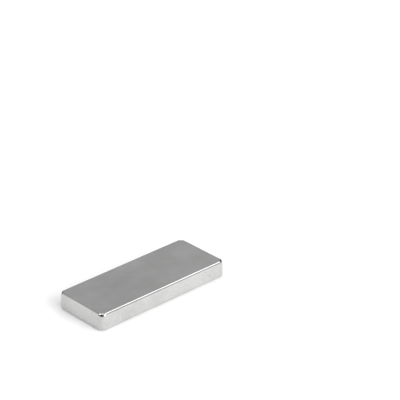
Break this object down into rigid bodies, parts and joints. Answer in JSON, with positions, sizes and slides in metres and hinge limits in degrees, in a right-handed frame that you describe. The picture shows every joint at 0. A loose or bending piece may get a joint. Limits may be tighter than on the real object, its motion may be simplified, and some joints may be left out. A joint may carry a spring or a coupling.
{
  "type": "block magnet",
  "caption": "Rectangular nickel-plated block magnet with tumbled edges, magnetised through its thickness, that holds to steel by either flat pole face.",
  "frame": {"origin": "middle of the pole face that the block lies on", "axes": "+X along the block's length, +Y across its width, +Z through its thickness, away from the face it lies on"},
  "size_m": [0.045, 0.018, 0.005],
  "materials": {
    "nickel_plating": "bright nickel plating over a tumbled sintered bar: smooth pole faces, faintly grained sides, polished edges"
  },
  "bodies": {
    "root": {"magnet_block": "nickel_plating"}
  },
  "joints": []
}
